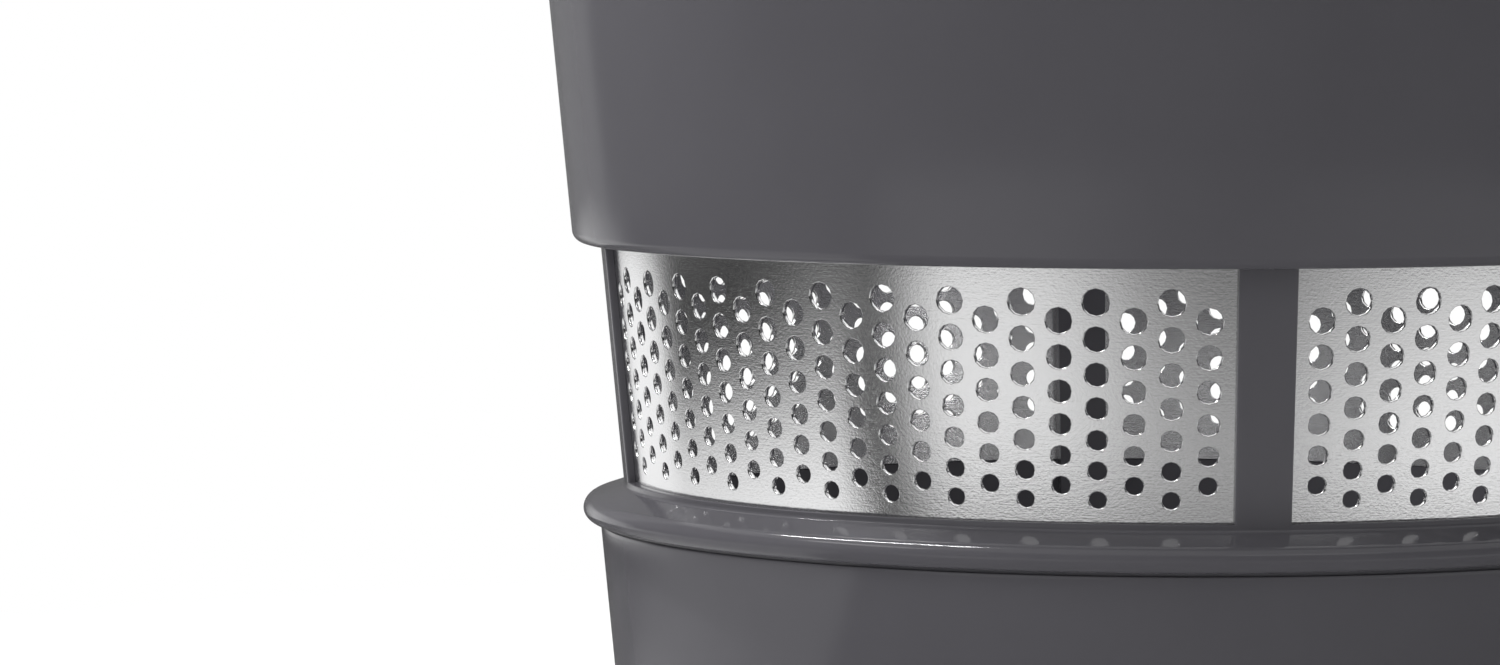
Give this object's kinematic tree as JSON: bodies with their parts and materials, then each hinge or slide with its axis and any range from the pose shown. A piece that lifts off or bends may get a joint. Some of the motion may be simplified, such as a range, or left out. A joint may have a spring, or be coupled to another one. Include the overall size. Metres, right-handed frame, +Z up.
{
  "type": "slow juicer strainer basket",
  "caption": "Tapered plastic strainer basket for a slow juicer: plain collar, band of perforated stainless sheet, bead ring, skirt, and a floor with a hub bore and a pulp outlet slot.",
  "frame": {"origin": "centre of the foot rim, on the surface the basket stands on", "axes": "+Z up the axis of the basket, X and Y through the posts"},
  "size_m": [0.1124, 0.1124, 0.078],
  "materials": {
    "frame_plastic": "satin, dark warm grey",
    "screen_steel": "fine brushed, punched"
  },
  "bodies": {
    "root": {"basket_frame": "frame_plastic", "perforated_screen": "screen_steel"}
  },
  "joints": []
}
